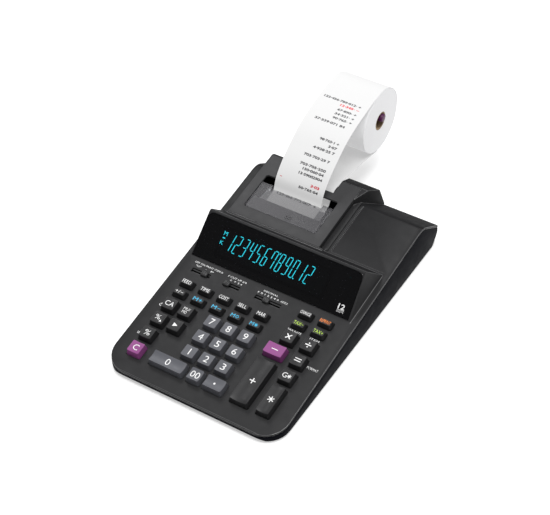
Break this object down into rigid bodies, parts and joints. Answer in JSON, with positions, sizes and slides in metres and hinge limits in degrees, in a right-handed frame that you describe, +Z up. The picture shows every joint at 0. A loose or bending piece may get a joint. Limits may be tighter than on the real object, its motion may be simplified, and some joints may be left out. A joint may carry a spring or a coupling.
{
  "type": "desktop printing calculator",
  "caption": "Wedge-shaped desktop printing calculator with a tilted display, sprung keys, slide switches and a roll-paper printer.",
  "frame": {"origin": "bottom centre of the whole object, paper roll included, on the plane its feet stand on", "axes": "+Z up, +X to the right of the user, -Y towards the user; the keyboard is at the -Y end"},
  "size_m": [0.195, 0.4104, 0.1076],
  "materials": {
    "deck_plastic": "fine moulded texture, charcoal grey",
    "side_plastic": "smooth satin, blue-black",
    "lens": "polished black acrylic",
    "tube_glass": "dark fluorescent tube glass",
    "cover_plastic": "fine moulded texture, mid grey",
    "smoky_window": "smoky translucent",
    "paper": "uncoated white paper",
    "cardboard": "spiral-wound cardboard tube",
    "purple_plastic": "satin purple",
    "mechanism_metal": "zinc-plated sheet",
    "black_rubber": "ground rubber",
    "ink_sponge": "inked felt roller",
    "motor_metal": "drawn motor can",
    "transformer_steel": "varnished laminations",
    "mat_rubber": "silicone mat",
    "board": "green solder mask",
    "key_grey": "satin with a dark skirt",
    "key_purple": "satin purple",
    "key_dark": "satin black",
    "key_small": "satin black",
    "knob_plastic": "satin black, ribbed"
  },
  "bodies": {
    "case": {"upper_case": "deck_plastic", "lower_case": "side_plastic", "display_lens": "lens", "display_tube": "tube_glass", "printer_cover": "cover_plastic", "paper_tape": "paper", "paper_arm": "side_plastic", "roll_spindle": "purple_plastic", "print_unit": "mechanism_metal", "print_motor": "motor_metal", "power_transformer": "transformer_steel", "key_mat": "mat_rubber", "circuit_board": "board"},
    "tear_window": {"tear_window": "smoky_window"},
    "paper_roll": {"paper_roll": "paper", "roll_core": "cardboard"},
    "platen_roller": {"platen_roller": "black_rubber"},
    "ink_roller": {"ink_roller": "ink_sponge"},
    "key_0": {"key_0": "key_grey"},
    "key_1": {"key_1": "key_grey"},
    "key_2": {"key_2": "key_grey"},
    "key_3": {"key_3": "key_grey"},
    "key_4": {"key_4": "key_grey"},
    "key_5": {"key_5": "key_grey"},
    "key_6": {"key_6": "key_grey"},
    "key_7": {"key_7": "key_grey"},
    "key_8": {"key_8": "key_grey"},
    "key_9": {"key_9": "key_grey"},
    "key_00": {"key_00": "key_grey"},
    "key_point": {"key_point": "key_grey"},
    "key_clear": {"key_clear": "key_purple"},
    "key_minus": {"key_minus": "key_purple"},
    "key_percent": {"key_percent": "key_dark"},
    "key_delta_percent": {"key_delta_percent": "key_dark"},
    "key_shift_back": {"key_shift_back": "key_dark"},
    "key_clear_all": {"key_clear_all": "key_dark"},
    "key_markup": {"key_markup": "key_dark"},
    "key_multiply": {"key_multiply": "key_dark"},
    "key_divide": {"key_divide": "key_dark"},
    "key_equals": {"key_equals": "key_dark"},
    "key_grand_total": {"key_grand_total": "key_dark"},
    "key_plus": {"key_plus": "key_dark"},
    "key_total": {"key_total": "key_dark"},
    "key_sign": {"key_sign": "key_small"},
    "key_feed": {"key_feed": "key_small"},
    "key_memory_plus": {"key_memory_plus": "key_small"},
    "key_time": {"key_time": "key_small"},
    "key_memory_minus": {"key_memory_minus": "key_small"},
    "key_cost": {"key_cost": "key_small"},
    "key_memory_subtotal": {"key_memory_subtotal": "key_small"},
    "key_sell": {"key_sell": "key_small"},
    "key_memory_total": {"key_memory_total": "key_small"},
    "key_margin": {"key_margin": "key_small"},
    "key_tax_minus": {"key_tax_minus": "key_small"},
    "key_change": {"key_change": "key_small"},
    "key_tax_plus": {"key_tax_plus": "key_small"},
    "key_reprint": {"key_reprint": "key_small"},
    "switch_function_knob": {"switch_function_knob": "knob_plastic"},
    "switch_rounding_knob": {"switch_rounding_knob": "knob_plastic"},
    "switch_decimal_knob": {"switch_decimal_knob": "knob_plastic"}
  },
  "joints": [
    {"name": "key_0_press", "type": "slide", "parent": "case", "child": "key_0", "axis": [0, -0.1281, 0.9918], "range_m": [-0.0025, 0], "stiffness_N_per_m": 160},
    {"name": "key_1_press", "type": "slide", "parent": "case", "child": "key_1", "axis": [0, -0.1281, 0.9918], "range_m": [-0.0025, 0], "stiffness_N_per_m": 120},
    {"name": "key_2_press", "type": "slide", "parent": "case", "child": "key_2", "axis": [0, -0.1281, 0.9918], "range_m": [-0.0025, 0], "stiffness_N_per_m": 120},
    {"name": "key_3_press", "type": "slide", "parent": "case", "child": "key_3", "axis": [0, -0.1281, 0.9918], "range_m": [-0.0025, 0], "stiffness_N_per_m": 120},
    {"name": "key_4_press", "type": "slide", "parent": "case", "child": "key_4", "axis": [0, -0.1281, 0.9918], "range_m": [-0.0025, 0], "stiffness_N_per_m": 120},
    {"name": "key_5_press", "type": "slide", "parent": "case", "child": "key_5", "axis": [0, -0.1281, 0.9918], "range_m": [-0.0025, 0], "stiffness_N_per_m": 120},
    {"name": "key_6_press", "type": "slide", "parent": "case", "child": "key_6", "axis": [0, -0.1281, 0.9918], "range_m": [-0.0025, 0], "stiffness_N_per_m": 120},
    {"name": "key_7_press", "type": "slide", "parent": "case", "child": "key_7", "axis": [0, -0.1281, 0.9918], "range_m": [-0.0025, 0], "stiffness_N_per_m": 120},
    {"name": "key_8_press", "type": "slide", "parent": "case", "child": "key_8", "axis": [0, -0.1281, 0.9918], "range_m": [-0.0025, 0], "stiffness_N_per_m": 120},
    {"name": "key_9_press", "type": "slide", "parent": "case", "child": "key_9", "axis": [0, -0.1281, 0.9918], "range_m": [-0.0025, 0], "stiffness_N_per_m": 120},
    {"name": "key_00_press", "type": "slide", "parent": "case", "child": "key_00", "axis": [0, -0.1281, 0.9918], "range_m": [-0.0025, 0], "stiffness_N_per_m": 120},
    {"name": "key_point_press", "type": "slide", "parent": "case", "child": "key_point", "axis": [0, -0.1281, 0.9918], "range_m": [-0.0025, 0], "stiffness_N_per_m": 120},
    {"name": "key_clear_press", "type": "slide", "parent": "case", "child": "key_clear", "axis": [0, -0.1281, 0.9918], "range_m": [-0.0025, 0], "stiffness_N_per_m": 120},
    {"name": "key_minus_press", "type": "slide", "parent": "case", "child": "key_minus", "axis": [0, -0.1281, 0.9918], "range_m": [-0.0025, 0], "stiffness_N_per_m": 120},
    {"name": "key_percent_press", "type": "slide", "parent": "case", "child": "key_percent", "axis": [0, -0.1281, 0.9918], "range_m": [-0.0025, 0], "stiffness_N_per_m": 120},
    {"name": "key_delta_percent_press", "type": "slide", "parent": "case", "child": "key_delta_percent", "axis": [0, -0.1281, 0.9918], "range_m": [-0.0025, 0], "stiffness_N_per_m": 120},
    {"name": "key_shift_back_press", "type": "slide", "parent": "case", "child": "key_shift_back", "axis": [0, -0.1281, 0.9918], "range_m": [-0.0025, 0], "stiffness_N_per_m": 120},
    {"name": "key_clear_all_press", "type": "slide", "parent": "case", "child": "key_clear_all", "axis": [0, -0.1281, 0.9918], "range_m": [-0.0025, 0], "stiffness_N_per_m": 120},
    {"name": "key_markup_press", "type": "slide", "parent": "case", "child": "key_markup", "axis": [0, -0.1281, 0.9918], "range_m": [-0.0025, 0], "stiffness_N_per_m": 120},
    {"name": "key_multiply_press", "type": "slide", "parent": "case", "child": "key_multiply", "axis": [0, -0.1281, 0.9918], "range_m": [-0.0025, 0], "stiffness_N_per_m": 120},
    {"name": "key_divide_press", "type": "slide", "parent": "case", "child": "key_divide", "axis": [0, -0.1281, 0.9918], "range_m": [-0.0025, 0], "stiffness_N_per_m": 120},
    {"name": "key_equals_press", "type": "slide", "parent": "case", "child": "key_equals", "axis": [0, -0.1281, 0.9918], "range_m": [-0.0025, 0], "stiffness_N_per_m": 120},
    {"name": "key_grand_total_press", "type": "slide", "parent": "case", "child": "key_grand_total", "axis": [0, -0.1281, 0.9918], "range_m": [-0.0025, 0], "stiffness_N_per_m": 120},
    {"name": "key_plus_press", "type": "slide", "parent": "case", "child": "key_plus", "axis": [0, -0.1281, 0.9918], "range_m": [-0.0025, 0], "stiffness_N_per_m": 160},
    {"name": "key_total_press", "type": "slide", "parent": "case", "child": "key_total", "axis": [0, -0.1281, 0.9918], "range_m": [-0.0025, 0], "stiffness_N_per_m": 160},
    {"name": "key_sign_press", "type": "slide", "parent": "case", "child": "key_sign", "axis": [0, -0.1281, 0.9918], "range_m": [-0.0025, 0], "stiffness_N_per_m": 120},
    {"name": "key_feed_press", "type": "slide", "parent": "case", "child": "key_feed", "axis": [0, -0.1281, 0.9918], "range_m": [-0.0025, 0], "stiffness_N_per_m": 120},
    {"name": "key_memory_plus_press", "type": "slide", "parent": "case", "child": "key_memory_plus", "axis": [0, -0.1281, 0.9918], "range_m": [-0.0025, 0], "stiffness_N_per_m": 120},
    {"name": "key_time_press", "type": "slide", "parent": "case", "child": "key_time", "axis": [0, -0.1281, 0.9918], "range_m": [-0.0025, 0], "stiffness_N_per_m": 120},
    {"name": "key_memory_minus_press", "type": "slide", "parent": "case", "child": "key_memory_minus", "axis": [0, -0.1281, 0.9918], "range_m": [-0.0025, 0], "stiffness_N_per_m": 120},
    {"name": "key_cost_press", "type": "slide", "parent": "case", "child": "key_cost", "axis": [0, -0.1281, 0.9918], "range_m": [-0.0025, 0], "stiffness_N_per_m": 120},
    {"name": "key_memory_subtotal_press", "type": "slide", "parent": "case", "child": "key_memory_subtotal", "axis": [0, -0.1281, 0.9918], "range_m": [-0.0025, 0], "stiffness_N_per_m": 120},
    {"name": "key_sell_press", "type": "slide", "parent": "case", "child": "key_sell", "axis": [0, -0.1281, 0.9918], "range_m": [-0.0025, 0], "stiffness_N_per_m": 120},
    {"name": "key_memory_total_press", "type": "slide", "parent": "case", "child": "key_memory_total", "axis": [0, -0.1281, 0.9918], "range_m": [-0.0025, 0], "stiffness_N_per_m": 120},
    {"name": "key_margin_press", "type": "slide", "parent": "case", "child": "key_margin", "axis": [0, -0.1281, 0.9918], "range_m": [-0.0025, 0], "stiffness_N_per_m": 120},
    {"name": "key_tax_minus_press", "type": "slide", "parent": "case", "child": "key_tax_minus", "axis": [0, -0.1281, 0.9918], "range_m": [-0.0025, 0], "stiffness_N_per_m": 120},
    {"name": "key_change_press", "type": "slide", "parent": "case", "child": "key_change", "axis": [0, -0.1281, 0.9918], "range_m": [-0.0025, 0], "stiffness_N_per_m": 120},
    {"name": "key_tax_plus_press", "type": "slide", "parent": "case", "child": "key_tax_plus", "axis": [0, -0.1281, 0.9918], "range_m": [-0.0025, 0], "stiffness_N_per_m": 120},
    {"name": "key_reprint_press", "type": "slide", "parent": "case", "child": "key_reprint", "axis": [0, -0.1281, 0.9918], "range_m": [-0.0025, 0], "stiffness_N_per_m": 120},
    {"name": "switch_function_slide", "type": "slide", "parent": "case", "child": "switch_function_knob", "axis": [1, 0, 0], "range_m": [-0.0122, 0.0034]},
    {"name": "switch_rounding_slide", "type": "slide", "parent": "case", "child": "switch_rounding_knob", "axis": [1, 0, 0], "range_m": [-0.0015, 0.0115]},
    {"name": "switch_decimal_slide", "type": "slide", "parent": "case", "child": "switch_decimal_knob", "axis": [1, 0, 0], "range_m": [-0.0099, 0.0131]},
    {"name": "tear_window_lift", "type": "hinge", "parent": "case", "child": "tear_window", "pos_m": [-0.034, 0.04845, 0.04787], "axis": [-1, 0, 0], "range_deg": [0, 70]},
    {"name": "paper_roll_spin", "type": "hinge", "parent": "case", "child": "paper_roll", "pos_m": [-0.033, 0.16875, 0.0711], "axis": [1, 0, 0], "continuous": true},
    {"name": "platen_spin", "type": "hinge", "parent": "case", "child": "platen_roller", "pos_m": [-0.033, 0.03125, 0.0335], "axis": [1, 0, 0], "continuous": true},
    {"name": "ink_roller_spin", "type": "hinge", "parent": "case", "child": "ink_roller", "pos_m": [-0.033, 0.01385, 0.0342], "axis": [1, 0, 0], "continuous": true}
  ],
  "couplings": [
    {"joint": "platen_spin", "follows": "paper_roll_spin", "ratio": 4.8378}
  ]
}
